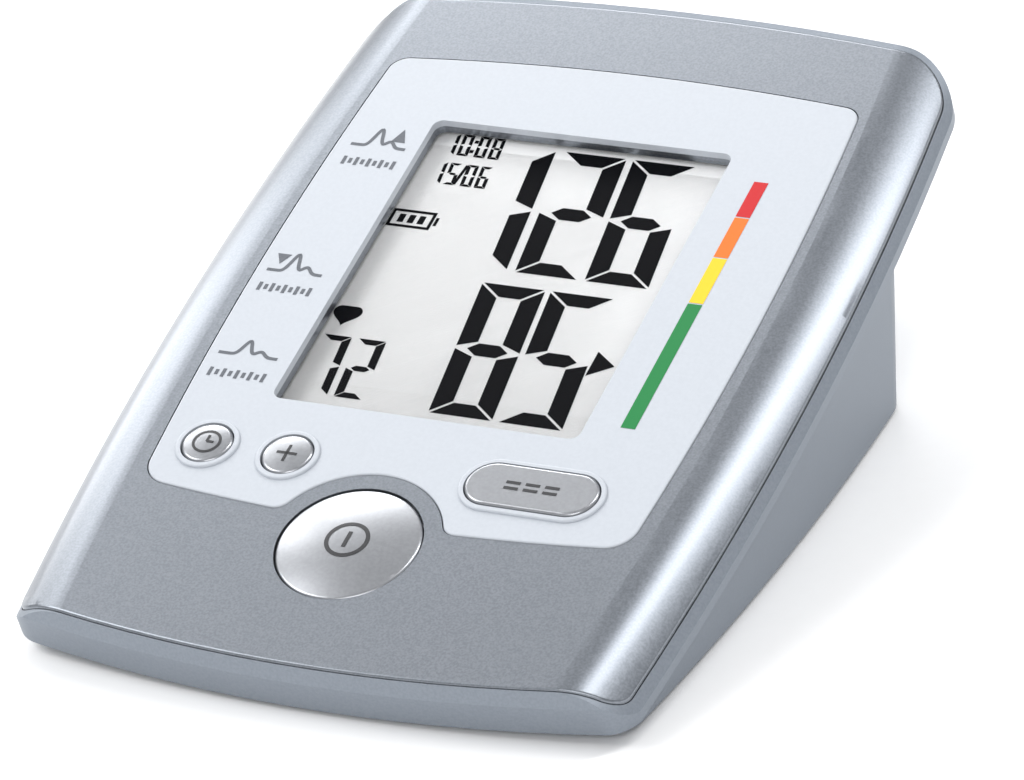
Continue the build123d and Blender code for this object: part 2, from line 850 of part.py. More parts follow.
def make_air_socket():
    """Turned socket: flange outside the wall, bore for the hose plug and a nozzle inside."""
    end = socket_depth + 2.5
    mouth = -socket_flange_thickness
    section = make_face(Polyline(
        (socket_bore, mouth), (socket_flange, mouth), (socket_flange, 0),
        (socket_radius, 0), (socket_radius, end), (nozzle_radius * 0.5, end),
        (nozzle_radius * 0.5, socket_depth), (socket_bore, socket_depth), close=True,
    ))
    body = revolve(Plane.XZ * section, Axis.Z)
    mouth_edges = body.edges().filter_by(GeomType.CIRCLE).group_by(Axis.Z)[0]
    body = chamfer(mouth_edges, 0.3)
    body = socket_place(0).location * body
    tip = nozzle((socket_wall_x() + end, rail_y, rail_z), (1, 0, 0))
    return body + tip


def make_socket_nut():
    """Six sided nut that clamps the socket's barrel inside the wall."""
    ring = RegularPolygon(socket_radius + 2, 6) - Circle(socket_radius)
    inner_face = housing_wall + small_gap
    return socket_place(inner_face).location * extrude(ring, 2.2)


def make_air_rail():
    """Straight rail with one nozzle for each tube: socket, valve, sensor and pump."""
    rail = Pos((rail_left + rail_right) / 2, rail_y, rail_z) * Rot(0, 90, 0) * Cylinder(
        rail_radius, rail_right - rail_left
    )
    rail += nozzle((rail_left, rail_y, rail_z), (-1, 0, 0))
    rail += nozzle((valve_tube_x(), rail_y + rail_radius, rail_z), (0, 1, 0))
    rail += nozzle((pump_tube_x, rail_y + rail_radius, rail_z), (0, 1, 0))
    toward_sensor = Vector(0, -cos(tilt), -sin(tilt))
    start = Vector(sensor_x, rail_y, rail_z) + toward_sensor * rail_radius
    rail += nozzle(start, toward_sensor)
    return rail


def valve_tube_x():
    """Place of the rail's nozzle that feeds the valve."""
    return valve_x + valve_length / 2 + nozzle_length + tube_bend


def hose(points, bend):
    """A silicone tube along straight runs with one bend radius, bored through."""
    path = FilletPolyline(*points, radius=bend) if len(points) > 2 else Line(*points)
    start = Plane(origin=path @ 0, z_dir=path % 0)
    solid = sweep(start * Circle(tube_radius), path=path)
    return solid - sweep(start * Circle(nozzle_radius * 1.25), path=path)


def make_air_tubes():
    """Four silicone tubes, each pushed over a nozzle at either end."""
    gap = 0.3
    socket_end = socket_wall_x() + socket_depth + 2.5
    tubes = {
        "socket_tube": hose([(socket_end + gap, rail_y, rail_z), (rail_left - gap, rail_y, rail_z)], 1),
        "valve_tube": hose([
            (valve_tube_x(), rail_y + rail_radius + gap, rail_z),
            (valve_tube_x(), valve_y, rail_z),
            (valve_x + valve_length / 2 + gap, valve_y, rail_z),
        ], tube_bend),
        "pump_tube": hose([
            (pump_tube_x, rail_y + rail_radius + gap, rail_z),
            (pump_tube_x, head_nozzle_y, rail_z),
            (pump_x + head_width / 2 + gap, head_nozzle_y, rail_z),
        ], min(tube_bend, pump_tube_x - pump_x - head_width / 2 - nozzle_length)),
    }
    along = Vector(0, cos(tilt), sin(tilt))
    low = sensor_nozzle + along * gap
    high = Vector(sensor_x, rail_y, rail_z) - along * (rail_radius + gap)
    tubes["sensor_tube"] = hose([low, high], 1)
    return tubes


def make_pressure_sensor():
    """Square sensor under the board with its nozzle along the board."""
    half = sensor_size / 2
    body = block(
        sensor_x - half, sensor_x + half, sensor_y - half, sensor_y + half,
        board_bottom - sensor_height, board_bottom,
    )
    body = fillet(body.edges().filter_by(Axis.Z), 0.8)
    start = (sensor_x, sensor_y + half, sensor_nozzle_z)
    return on_face(body + nozzle(start, (0, 1, 0)))


def make_release_valve():
    """Valve coil in a steel yoke, with a nozzle towards the rail."""
    left = valve_x - valve_length / 2
    right = valve_x + valve_length / 2
    coil = Pos(valve_x, valve_y, valve_z()) * Rot(0, 90, 0) * Cylinder(
        valve_width / 2 - 0.6, valve_length - 2
    )
    yoke = block(
        left, right, valve_y - valve_width / 2, valve_y + valve_width / 2,
        valve_z() - valve_height / 2, valve_z() + valve_height / 2,
    )
    yoke -= block(
        left + 1, right - 1, valve_y - valve_width, valve_y + valve_width,
        valve_z() - valve_height / 2 + 1, valve_z() + valve_height,
    )
    return coil + yoke + nozzle((right, valve_y, rail_z), (1, 0, 0))


def make_main_board():
    """Board under the keys, screwed up against the cover's posts."""
    length = board_back - board_front
    plan = Pos(0, (board_front + board_back) / 2) * RectangleRounded(board_width, length, board_corner)
    for x, y in board_screw_spots:
        plan -= Pos(x, y) * Circle(screw_radius + 0.1)
    return on_face(slab(plan, board_bottom, board_top))


def make_processor():
    """Main chip under the board with its rows of legs."""
    x, y = 6.0, 33.0
    half = chip_size / 2
    low = board_bottom - chip_height
    chip = block(x - half, x + half, y - half, y + half, low, board_bottom - 0.15)
    for step in range(8):
        place = (step - 3.5) * chip_size / 9
        chip += block(x - half - 1, x + half + 1, y + place - 0.2, y + place + 0.2, board_bottom - 0.6, board_bottom)
    return on_face(chip)


def make_buzzer():
    """Round sounder under the board, with its sound hole."""
    x, y = 27.0, 43.0
    low = board_bottom - buzzer_height
    can = rod(buzzer_radius, x, y, low, board_bottom)
    can = fillet(can.edges().group_by(Axis.Z)[-1] + can.edges().group_by(Axis.Z)[0], 0.3)
    face_spot = rod(1.0, x, y, low - 1, low + 1)
    return on_face(can - face_spot)


def make_switch(x, y):
    """Square key switch, hollow round its plunger, with four legs."""
    half = switch_size / 2
    body = block(x - half, x + half, y - half, y + half, board_top, switch_top)
    body -= rod(plunger_radius + 0.06, x, y, switch_top - plunger_hidden - button_travel - 0.2, switch_top + 1)
    return on_face(body)


def make_plunger(x, y):
    """Key switch's plunger, pressed by the post of its button."""
    return on_face(rod(plunger_radius, x, y, switch_top - plunger_hidden, post_bottom))


def make_memory_button():
    """Long button with round ends, hollow, with a flange and a post."""
    flange_top = cover_inside - 0.05
    cap = slab(pill(memory_straight, memory_radius, 0), flange_top - 0.5, key_top)
    cap = fillet(cap.edges().group_by(Axis.Z)[-1], cap_edge_radius)
    cap += slab(pill(memory_straight, memory_radius, flange_width), flange_top - flange_thickness, flange_top)
    cap -= slab(pill(memory_straight, memory_radius, -cap_wall), flange_top - 2, key_top - cap_wall)
    cap += rod(post_radius, memory_x, key_y, post_bottom, key_top - cap_wall + 0.1)
    return on_face(cap)


def make_screws(spots):
    """Pan head screws, each given by its place and the height of its seat on the face frame."""
    screws = []
    for x, y, seat in spots:
        head = rod(screw_head_radius, x, y, seat - screw_head_height, seat)
        head = fillet(head.edges().group_by(Axis.Z)[0], screw_head_height * 0.4)
        head -= block(x - 1.3, x + 1.3, y - 0.3, y + 0.3, seat - screw_head_height - 1, seat - 0.6)
        head -= block(x - 0.3, x + 0.3, y - 1.3, y + 1.3, seat - screw_head_height - 1, seat - 0.6)
        shank = rod(pilot_radius, x, y, seat - 0.1, seat + screw_length - 1.4)
        screws.append(on_face(head + shank))
    return Compound(screws)


def make_feet():
    """Round rubber feet let into the underside."""
    feet = []
    for x, y in foot_spots:
        foot = rod(foot_radius, x, y, 0, foot_height + foot_recess)
        feet.append(fillet(foot.edges().group_by(Axis.Z)[0], 0.3))
    return Compound(feet)


def make_contacts():
    """Spring contacts at one end of each cell and plates at the other, bridged in pairs."""
    contacts = []
    for step, y in enumerate(cell_spots):
        for side in (-1, 1):
            spring_side = (side > 0) == (step % 2 == 0)
            contacts.append(make_contact(y, side, spring_side))
    return Compound(contacts)


def make_contact(y, side, springy):
    """Metal plate on the bay's end wall, with a bent leaf or a pressed dimple for the cell."""
    wall_x = bay_inner_right if side > 0 else bay_inner_left
    half = contact_width / 2
    plate = block(
        min(wall_x, wall_x - side * contact_thickness), max(wall_x, wall_x - side * contact_thickness),
        y - half, y + half, cell_z - half, cell_z + half,
    )
    reach = contact_room - 0.1
    if springy:
        leaf = make_face(Polyline(
            (wall_x - side * contact_thickness, cell_z - half),
            (wall_x - side * reach, cell_z),
            (wall_x - side * contact_thickness, cell_z + half),
            (wall_x - side * contact_thickness, cell_z + half - 0.7),
            (wall_x - side * (reach - 0.5), cell_z),
            (wall_x - side * contact_thickness, cell_z - half + 0.7),
            close=True,
        ))
        strip = Plane(origin=(0, y + 1.5, 0), x_dir=(1, 0, 0), z_dir=(0, -1, 0)).location * extrude(leaf, 3)
        return plate + strip
    stud = Cylinder(2.0, reach - contact_thickness)
    middle = wall_x - side * (reach + contact_thickness) / 2
    return plate + Pos(middle, y, cell_z) * Rot(0, 90, 0) * stud


def build_all():
    """Every piece by the name of its node."""
    pieces = {
        "base_housing": make_base_housing(),
        "top_cover": make_top_cover(),
        "fascia": make_fascia(),
        "battery_door": make_battery_door(),
        "display_window": make_display_window(),
        "display_frame": make_display_frame(),
        "display_panel": make_display_panel(),
        "display_connector": make_display_connector(),
        "main_board": make_main_board(),
        "processor": make_processor(),
        "buzzer": make_buzzer(),
        "pressure_sensor": make_pressure_sensor(),
        "pump_motor": make_pump_motor(),
        "pump_head": make_pump_head(),
        "pump_band": make_pump_band(),
        "release_valve": make_release_valve(),
        "air_rail": make_air_rail(),
        "air_socket": make_air_socket(),
        "socket_nut": make_socket_nut(),
        "battery_contacts": make_contacts(),
        "rubber_feet": make_feet(),
        "case_screws": make_screws([(x, y, boss_seat(y) - 1.1) for x, y in case_screw_spots]),
        "board_screws": make_screws([(x, y, board_bottom) for x, y in board_screw_spots]),
        "display_screws": make_screws([(x, y, frame_bottom) for x, y in frame_screw_spots]),
    }
    pieces.update(make_air_tubes())
    for step, y in enumerate(cell_spots):
        pieces[f"cell_{step + 1}"] = make_cell(y, step % 2 == 1)
    start_edge = face_height - 0.1
    caps = {
        "start_stop": on_face(round_cap(start_x, start_y, start_radius, start_edge + start_dome, start_edge)),
        "set": on_face(round_cap(set_x, key_y, key_radius, key_top, key_top - 0.25)),
        "plus": on_face(round_cap(plus_x, key_y, key_radius, key_top, key_top - 0.25)),
        "memory": make_memory_button(),
    }
    for key, (x, y) in switch_spots().items():
        pieces[f"{key}_button"] = caps[key]
        pieces[f"{key}_plunger"] = make_plunger(x, y)
        pieces[f"{key}_switch"] = make_switch(x, y)
    return pieces


os.makedirs("parts", exist_ok=True)
pieces = build_all()
box = Compound(list(pieces.values())).bounding_box()
to_origin = Pos(-(box.min.X + box.max.X) / 2, -(box.min.Y + box.max.Y) / 2, -box.min.Z)
for name, piece in pieces.items():
    export_step(to_origin * piece, f"parts/{name}.step")
    print(name, piece.is_valid, round(piece.volume, 1), len(piece.solids()))
print("overall size", box.size)
print("origin moved by", to_origin.position)
print("socket mouth", (to_origin * socket_place(-socket_flange_thickness).location).position)
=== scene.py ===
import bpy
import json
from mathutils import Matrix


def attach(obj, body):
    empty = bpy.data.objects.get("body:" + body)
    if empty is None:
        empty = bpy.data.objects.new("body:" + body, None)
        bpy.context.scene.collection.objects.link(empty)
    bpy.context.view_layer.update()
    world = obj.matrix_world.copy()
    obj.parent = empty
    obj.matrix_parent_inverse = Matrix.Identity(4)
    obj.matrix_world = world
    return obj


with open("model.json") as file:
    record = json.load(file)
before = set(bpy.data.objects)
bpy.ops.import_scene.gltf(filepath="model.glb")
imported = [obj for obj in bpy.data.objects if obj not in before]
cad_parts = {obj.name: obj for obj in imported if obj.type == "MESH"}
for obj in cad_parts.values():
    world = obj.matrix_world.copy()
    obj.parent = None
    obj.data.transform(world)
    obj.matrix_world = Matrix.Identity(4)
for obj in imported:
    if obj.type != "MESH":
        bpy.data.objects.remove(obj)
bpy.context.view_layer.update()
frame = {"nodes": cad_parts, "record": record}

import json
import bmesh
import bpy
import numpy as np
from mathutils import Matrix, Vector

# Desk blood pressure monitor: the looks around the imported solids, in metres.
mm = 0.001

# The tilted face: its frame starts in the middle of the front edge, u runs across,
# s up the slope and n square to the face, all in millimetres.
face = {
    "tiltDegrees": 15.3,
    "frontY": -66.2456,
    "footHeight": 0.8,
    "fasciaTop": 7.65,
    "glassTop": 4.5,
    "printLift": 0.03,
    "printThickness": 0.02,
}
tilt = np.radians(face["tiltDegrees"])


def facePoints(u, s, n):
    # a place on the face, turned by the tilt about the front edge and carried to the desk
    y = s * np.cos(tilt) - n * np.sin(tilt) + face["frontY"]
    z = s * np.sin(tilt) + n * np.cos(tilt) + face["footHeight"]
    return np.stack([u + 0 * y, y, z], axis=-1) * mm


def addObject(name, data):
    item = bpy.data.objects.new(name, data)
    bpy.context.scene.collection.objects.link(item)
    return item


def putMesh(name, points, faces, material, body):
    mesh = bpy.data.meshes.new(name)
    mesh.from_pydata(points.tolist(), [], faces)
    mesh.materials.append(material)
    mesh.update()
    piece = addObject(name, mesh)
    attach(piece, body)
    return piece


def turnOutwards(mesh):
    shell = bmesh.new()
    shell.from_mesh(mesh)
    bmesh.ops.recalc_face_normals(shell, faces=shell.faces)
    shell.to_mesh(mesh)
    shell.free()


def gridFaces(rows, columns, closedRows, start):
    # the four corners of each cell of a grid of points that is closed round its columns, and
    # along its rows where the path is a loop
    row, column = np.meshgrid(
        np.arange(rows if closedRows else rows - 1), np.arange(columns), indexing="ij",
    )
    nextRow = (row + 1) % rows
    nextColumn = (column + 1) % columns
    corners = np.stack([
        row * columns + column, nextRow * columns + column,
        nextRow * columns + nextColumn, row * columns + nextColumn,
    ], axis=-1)
    return (corners.reshape(-1, 4) + start).tolist()


def slabBetween(left, right, low, closed, start):
    # a thin slab ruled between two edges on the face: each step of the grid joins a point of
    # one edge to its partner on the other, and its lower side follows the surface low
    edges = np.stack([left, right, right, left], 1)
    height = low(edges[..., 0], edges[..., 1]) + face["printLift"]
    height[:, 2:] += face["printThickness"]
    points = facePoints(edges[..., 0], edges[..., 1], height)
    faces = gridFaces(len(left), 4, closed, start)
    if not closed:
        last = start + 4 * (len(left) - 1)
        faces += [[start + 3, start + 2, start + 1, start], [last, last + 1, last + 2, last + 3]]
    return points.reshape(-1, 3), faces


def stroke(path, halfWidth, closed=False):
    # the two edges of a bar: half a width to either side of its path, square to it
    path = np.asarray(path, float)
    halfWidth = np.broadcast_to(np.asarray(halfWidth, float), len(path))
    if closed:
        along = np.roll(path, -1, 0) - np.roll(path, 1, 0)
    else:
        along = np.gradient(path, axis=0)
    along /= np.linalg.norm(along, axis=1, keepdims=True)
    aside = np.stack([-along[:, 1], along[:, 0]], 1) * halfWidth[:, None]
    return path - aside, path + aside, closed


def putSlabs(name, slabs, low, material, body):
    # several slabs joined in one piece, with the normals of each turned outwards
    points, faces, count = [], [], 0
    for left, right, closed in slabs:
        morePoints, moreFaces = slabBetween(left, right, low, closed, count)
        points.append(morePoints)
        faces += moreFaces
        count += len(morePoints)
    piece = putMesh(name, np.concatenate(points), faces, material, body)
    turnOutwards(piece.data)
    return piece


def line(*places):
    return np.array(places, float)


def ring(centre, radius, count=48):
    # points at even angles round a centre
    angle = np.radians(np.linspace(0, 360 * (1 - 1 / count), count))
    return np.stack([centre[0] + radius * np.cos(angle), centre[1] + radius * np.sin(angle)], 1)


def flatSurface(height):
    # the same height over the face everywhere
    return lambda u, s: np.full(np.shape(u), height)


def domeSurface(cap):
    # the height of a cap's ball shaped top over its edge, from its radius and rise
    rise = cap["crown"] - cap["edge"]
    ball = (cap["radius"] ** 2 + rise ** 2) / (2 * rise)

    def height(u, s):
        away = (u - cap["u"]) ** 2 + (s - cap["s"]) ** 2
        return cap["crown"] - ball + np.sqrt(ball ** 2 - away)

    return height


# Materials
def linearColour(hexText):
    # sRGB hex to linear by the standard curve
    parts = np.array([int(hexText[i:i + 2], 16) for i in (1, 3, 5)]) / 255
    linear = np.where(parts <= 0.04045, parts / 12.92, ((parts + 0.055) / 1.055) ** 2.4)
    return (*linear.tolist(), 1.0)


def addNode(tree, kind, settings=None, links=None):
    # settings name a property of the node or one of its sockets, links name what feeds a socket
    node = tree.nodes.new(kind)
    for key, value in (settings or {}).items():
        if isinstance(key, str) and hasattr(node, key):
            setattr(node, key, value)
        else:
            node.inputs[key].default_value = value
    for socket, (source, output) in (links or {}).items():
        tree.links.new(source.outputs[output], node.inputs[socket])
    return node


def newMaterial(name, settings):
    # a material with its shader, its Object coordinates and the settings of the shader's own sockets
    material = bpy.data.materials.new(name)
    material.use_nodes = True
    tree = material.node_tree
    tree.nodes.clear()
    place = addNode(tree, "ShaderNodeTexCoord")
    shader = addNode(tree, "ShaderNodeBsdfPrincipled", settings)
    addNode(tree, "ShaderNodeOutputMaterial", links={"Surface": (shader, "BSDF")})
    return material, tree, place, shader


def putRamp(tree, noise, socket, dark, light):
    # a noise turned into a tint between two colours
    tint = addNode(tree, "ShaderNodeValToRGB", links={"Fac": (noise, "Fac")})
    tint.color_ramp.elements[0].color = dark
    tint.color_ramp.elements[1].color = light
    tree.links.new(tint.outputs["Color"], socket)
    return tint


def putRange(tree, noise, socket, settings):
    # a noise turned into a range of values
    spread = addNode(tree, "ShaderNodeMapRange", settings, {"Value": (noise, "Fac")})
    tree.links.new(spread.outputs["Result"], socket)


def putNoise(tree, place, size, detail):
    # a noise on the piece's own coordinates, its scale one over the features' real size
    return addNode(tree, "ShaderNodeTexNoise", {
        "Scale": 1 / (size * mm), "Detail": detail,
    }, {"Vector": (place, "Object")})


bumpDetail = 2.0


def addGrain(tree, place, shader, grain):
    # two noises, one for the tint between two colours and the roughness, one for the bump
    noise = putNoise(tree, place, grain["size"], grain["detail"])
    dark, light = linearColour(grain["dark"]), linearColour(grain["light"])
    tint = putRamp(tree, noise, shader.inputs["Base Color"], dark, light)
    tint.color_ramp.elements[0].position = grain["low"]
    tint.color_ramp.elements[1].position = grain["high"]
    putRange(tree, noise, shader.inputs["Roughness"], {
        "From Min": grain["low"], "From Max": grain["high"],
        "To Min": grain["smooth"], "To Max": grain["rough"],
    })
    texture = putNoise(tree, place, grain["bumpSize"], bumpDetail)
    bump = addNode(tree, "ShaderNodeBump", {
        "Strength": grain["bump"], "Distance": grain["bumpDepth"] * mm,
    }, {"Height": (texture, "Fac")})
    tree.links.new(bump.outputs["Normal"], shader.inputs["Normal"])


finishes = {
    # ABS sprayed with metallic paint: fine flakes under a satin top coat. The flakes are
    # 0.03 mm, drawn at 0.35 mm so that they show
    "sprayedSilverAbs": {
        "settings": {"Metallic": 0.85, "Coat Weight": 0.25, "Coat Roughness": 0.25},
        "grain": {"size": 0.35, "detail": 3.0, "low": 0.36, "high": 0.64, "dark": "#7d8289",
                  "light": "#898e95", "smooth": 0.29, "rough": 0.34, "bumpSize": 0.25,
                  "bump": 0.04, "bumpDepth": 0.02},
    },
    # Caps plated over ABS: paler and smoother than the sprayed cover
    "platedSilverAbs": {
        "settings": {"Metallic": 0.85, "Coat Weight": 0.2, "Coat Roughness": 0.2},
        "grain": {"size": 0.5, "detail": 2.0, "low": 0.35, "high": 0.65, "dark": "#a0a2a6",
                  "light": "#a5a7ab", "smooth": 0.28, "rough": 0.31, "bumpSize": 0.3,
                  "bump": 0.015, "bumpDepth": 0.02},
    },
    # Moulded ABS with a metallic pigment and a spark eroded texture of 0.2 mm
    "mouldedGreyAbs": {
        "settings": {"Metallic": 0.35, "Specular IOR Level": 0.5},
        "grain": {"size": 0.4, "detail": 3.0, "low": 0.35, "high": 0.65, "dark": "#7f868f",
                  "light": "#878e97", "smooth": 0.40, "rough": 0.50, "bumpSize": 0.2,
                  "bump": 0.18, "bumpDepth": 0.03},
    },
    # Printed polycarbonate film over the fascia: pale, even and satin
    "printedFilm": {
        "settings": {"Specular IOR Level": 0.5},
        "grain": {"size": 0.6, "detail": 2.0, "low": 0.35, "high": 0.65, "dark": "#b6bbc2",
                  "light": "#b9bec5", "smooth": 0.34, "rough": 0.40, "bumpSize": 0.3,
                  "bump": 0.04, "bumpDepth": 0.02},
    },
    # The back of a reflective liquid crystal glass: a pale grey, slightly mottled diffuser
    "displayDiffuser": {
        "settings": {"Specular IOR Level": 0.05},
        "grain": {"size": 0.8, "detail": 3.0, "low": 0.35, "high": 0.65, "dark": "#fafbfb",
                  "light": "#fdfdfd", "smooth": 0.40, "rough": 0.48, "bumpSize": 0.4,
                  "bump": 0.03, "bumpDepth": 0.01},
    },
    # Natural polypropylene and ABS inside the case, with the sheen of a plain mould
    "whiteMoulding": {
        "settings": {},
        "grain": {"size": 1.0, "detail": 2.0, "low": 0.35, "high": 0.65, "dark": "#dad9d4",
                  "light": "#e2e1dc", "smooth": 0.38, "rough": 0.46, "bumpSize": 0.4,
                  "bump": 0.05, "bumpDepth": 0.02},
    },
    # Black glass filled nylon, a little grey where the glass comes to the surface
    "blackNylon": {
        "settings": {},
        "grain": {"size": 0.5, "detail": 4.0, "low": 0.35, "high": 0.70, "dark": "#141416",
                  "light": "#232326", "smooth": 0.42, "rough": 0.52, "bumpSize": 0.25,
                  "bump": 0.12, "bumpDepth": 0.02},
    },
    # Green solder mask over woven glass
    "solderMask": {
        "settings": {"Coat Weight": 0.3, "Coat Roughness": 0.2},
        "grain": {"size": 1.2, "detail": 2.0, "low": 0.4, "high": 0.6, "dark": "#15512d",
                  "light": "#1c5f37", "smooth": 0.30, "rough": 0.38, "bumpSize": 0.5,
                  "bump": 0.06, "bumpDepth": 0.02},
    },
    # Grey rubber with a dusty matt skin
    "greyRubber": {
        "settings": {"Sheen Weight": 0.15, "Sheen Roughness": 0.5},
        "grain": {"size": 0.5, "detail": 4.0, "low": 0.35, "high": 0.65, "dark": "#303236",
                  "light": "#3b3d41", "smooth": 0.70, "rough": 0.82, "bumpSize": 0.3,
                  "bump": 0.2, "bumpDepth": 0.02},
    },
    # Milky silicone tube
    "siliconeTube": {
        "settings": {"Subsurface Weight": 0.1, "Subsurface Scale": 0.002},
        "grain": {"size": 1.5, "detail": 1.0, "low": 0.4, "high": 0.6, "dark": "#cfcfca",
                  "light": "#dadad5", "smooth": 0.35, "rough": 0.42, "bumpSize": 0.6,
                  "bump": 0.04, "bumpDepth": 0.02},
    },
    # Zinc plated steel, turned and stamped
    "zincPlatedSteel": {
        "settings": {"Metallic": 1.0},
        "grain": {"size": 0.3, "detail": 4.0, "low": 0.35, "high": 0.65, "dark": "#a9abac",
                  "light": "#c3c4c4", "smooth": 0.24, "rough": 0.36, "bumpSize": 0.2,
                  "bump": 0.10, "bumpDepth": 0.01},
    },
    # Plain shrink film round a steel can
    "cellJacket": {
        "settings": {"Metallic": 0.4, "Coat Weight": 0.4, "Coat Roughness": 0.12},
        "grain": {"size": 1.0, "detail": 2.0, "low": 0.35, "high": 0.65, "dark": "#454950",
                  "light": "#50545c", "smooth": 0.26, "rough": 0.34, "bumpSize": 0.5,
                  "bump": 0.04, "bumpDepth": 0.01},
    },
    # Dark liquid crystal segments, seen through the glass
    "displaySegment": {
        "settings": {"Specular IOR Level": 0.02},
        "grain": {"size": 0.8, "detail": 2.0, "low": 0.35, "high": 0.65, "dark": "#060608",
                  "light": "#0a0a0d", "smooth": 0.42, "rough": 0.50, "bumpSize": 0.5,
                  "bump": 0.02, "bumpDepth": 0.01},
    },
    # Screen printed ink on the fascia
    "greyPrint": {
        "settings": {},
        "grain": {"size": 0.3, "detail": 3.0, "low": 0.35, "high": 0.65, "dark": "#4a4f57",
                  "light": "#555a62", "smooth": 0.42, "rough": 0.52, "bumpSize": 0.2,
                  "bump": 0.05, "bumpDepth": 0.01},
    },
    # Pad printed ink on the caps
    "blackPrint": {
        "settings": {},
        "grain": {"size": 0.3, "detail": 3.0, "low": 0.35, "high": 0.65, "dark": "#191a1d",
                  "light": "#232428", "smooth": 0.40, "rough": 0.50, "bumpSize": 0.2,
                  "bump": 0.05, "bumpDepth": 0.01},
    },
}


def makeFinish(name, finish):
    material, tree, place, shader = newMaterial(name, finish["settings"])
    addGrain(tree, place, shader, finish["grain"])
    return material


clearAcrylic = {
    "colour": "#2c3036", "alpha": 0.05, "index": 1.49,
    "haze": 4.0, "detail": 2.0, "smooth": 0.03, "rough": 0.07,
}
printedInk = {"specular": 0.25, "grain": 0.4, "detail": 3.0, "thick": 0.93, "smooth": 0.36, "rough": 0.46}


def makeClearAcrylic():
    # Polished acrylic: mostly let through, with a faint grey body and a hard reflection
    material, tree, place, shader = newMaterial("clearAcrylic", {
        "Base Color": linearColour(clearAcrylic["colour"]), "Alpha": clearAcrylic["alpha"],
        "IOR": clearAcrylic["index"],
    })
    haze = putNoise(tree, place, clearAcrylic["haze"], clearAcrylic["detail"])
    putRange(tree, haze, shader.inputs["Roughness"], {
        "To Min": clearAcrylic["smooth"], "To Max": clearAcrylic["rough"],
    })
    return material


def makePrintedColour(name, hexText):
    # One colour of the screen printed scale, a little darker where the ink is thick
    thin = linearColour(hexText)
    thick = (*(np.array(thin[:3]) * printedInk["thick"]).tolist(), 1)
    material, tree, place, shader = newMaterial(name, {"Specular IOR Level": printedInk["specular"]})
    noise = putNoise(tree, place, printedInk["grain"], printedInk["detail"])
    putRamp(tree, noise, shader.inputs["Base Color"], thick, thin)
    putRange(tree, noise, shader.inputs["Roughness"], {
        "To Min": printedInk["smooth"], "To Max": printedInk["rough"],
    })
    return material


materials = {name: makeFinish(name, finish) for name, finish in finishes.items()}
materials["clearAcrylic"] = makeClearAcrylic()
slotFinish = {
    "silver_cover": "sprayedSilverAbs",
    "silver_button": "platedSilverAbs",
    "grey_housing": "mouldedGreyAbs",
    "pale_fascia": "printedFilm",
    "clear_window": "clearAcrylic",
    "display_glass": "displayDiffuser",
    "white_plastic": "whiteMoulding",
    "black_plastic": "blackNylon",
    "circuit_board": "solderMask",
    "grey_rubber": "greyRubber",
    "silicone_tube": "siliconeTube",
    "bright_steel": "zincPlatedSteel",
    "cell_jacket": "cellJacket",
}
for part in frame["record"]["subparts"]:
    node = frame["nodes"][part["node"]]
    node.data.materials.clear()
    node.data.materials.append(materials[slotFinish[part["material_slot"]]])
print("materials on the packed pieces")


# Display
display = {
    "segments": {"0": "abcdef", "1": "bc", "2": "abged", "3": "abgcd", "4": "fgbc", "5": "afgcd",
                 "6": "afgedc", "7": "abc", "8": "abcdefg", "9": "abcdfg"},
    "slant": -0.11,
    "joint": 0.2,
    "levelShare": 0.8,
    "tip": 0.03,
    "upper": {"text": "126", "middles": (-10.2, 1.3, 12.5), "low": 83.2, "high": 108.9,
              "width": 10.1, "stroke": 3.1},
    "lower": {"text": "85", "middles": (0.3, 11.3), "low": 53.6, "high": 80.3,
              "width": 10.1, "stroke": 3.1},
    "pulse": {"text": "72", "middles": (-22.7, -17.1), "low": 54.1, "high": 66.0,
              "width": 4.5, "stroke": 1.3},
    "hours": {"text": "1008", "middles": (-23.3, -21.0, -18.2, -15.9), "low": 105.5, "high": 110.0,
              "width": 1.8, "stroke": 0.56},
    "days": {"text": "1506", "middles": (-22.8, -20.5, -17.7, -15.4), "low": 99.2, "high": 103.8,
             "width": 1.8, "stroke": 0.56},
    "colon": {"u": -19.6, "low": 106.6, "high": 108.7, "size": 0.62},
    "slash": {"from": (-19.4, 99.4), "to": (-18.9, 103.6), "width": 0.5},
    "battery": {"left": -26.0, "right": -19.4, "low": 89.6, "high": 92.8, "line": 0.5, "bars": 3,
                "inside": 3, "barShare": 0.3},
    "heart": {"u": -24.0, "s": 70.4, "size": 4.6, "count": 40, "least": 0.05},
    "pointer": {"left": 16.8, "right": 20.3, "s": 67.2, "height": 5.0},
}


def segmentSlab(start, end, outward, half, cuts):
    # one bar of a digit: the outer edge runs past each corner by the crossing bar's half width,
    # the inner edge stops short of it by as much, and a small gap is left at both ends
    start, end, outward = (np.array(place, float) for place in (start, end, outward))
    along = (end - start) / np.linalg.norm(end - start)
    gap = along * display["joint"] * half
    ends = [(start + gap, -along, cuts[0]), (end - gap, along, cuts[1])]
    outer = [place + outward * half + away * past for place, away, (past, short) in ends]
    inner = [place - outward * half - away * short for place, away, (past, short) in ends]
    return np.stack(outer), np.stack(inner), False


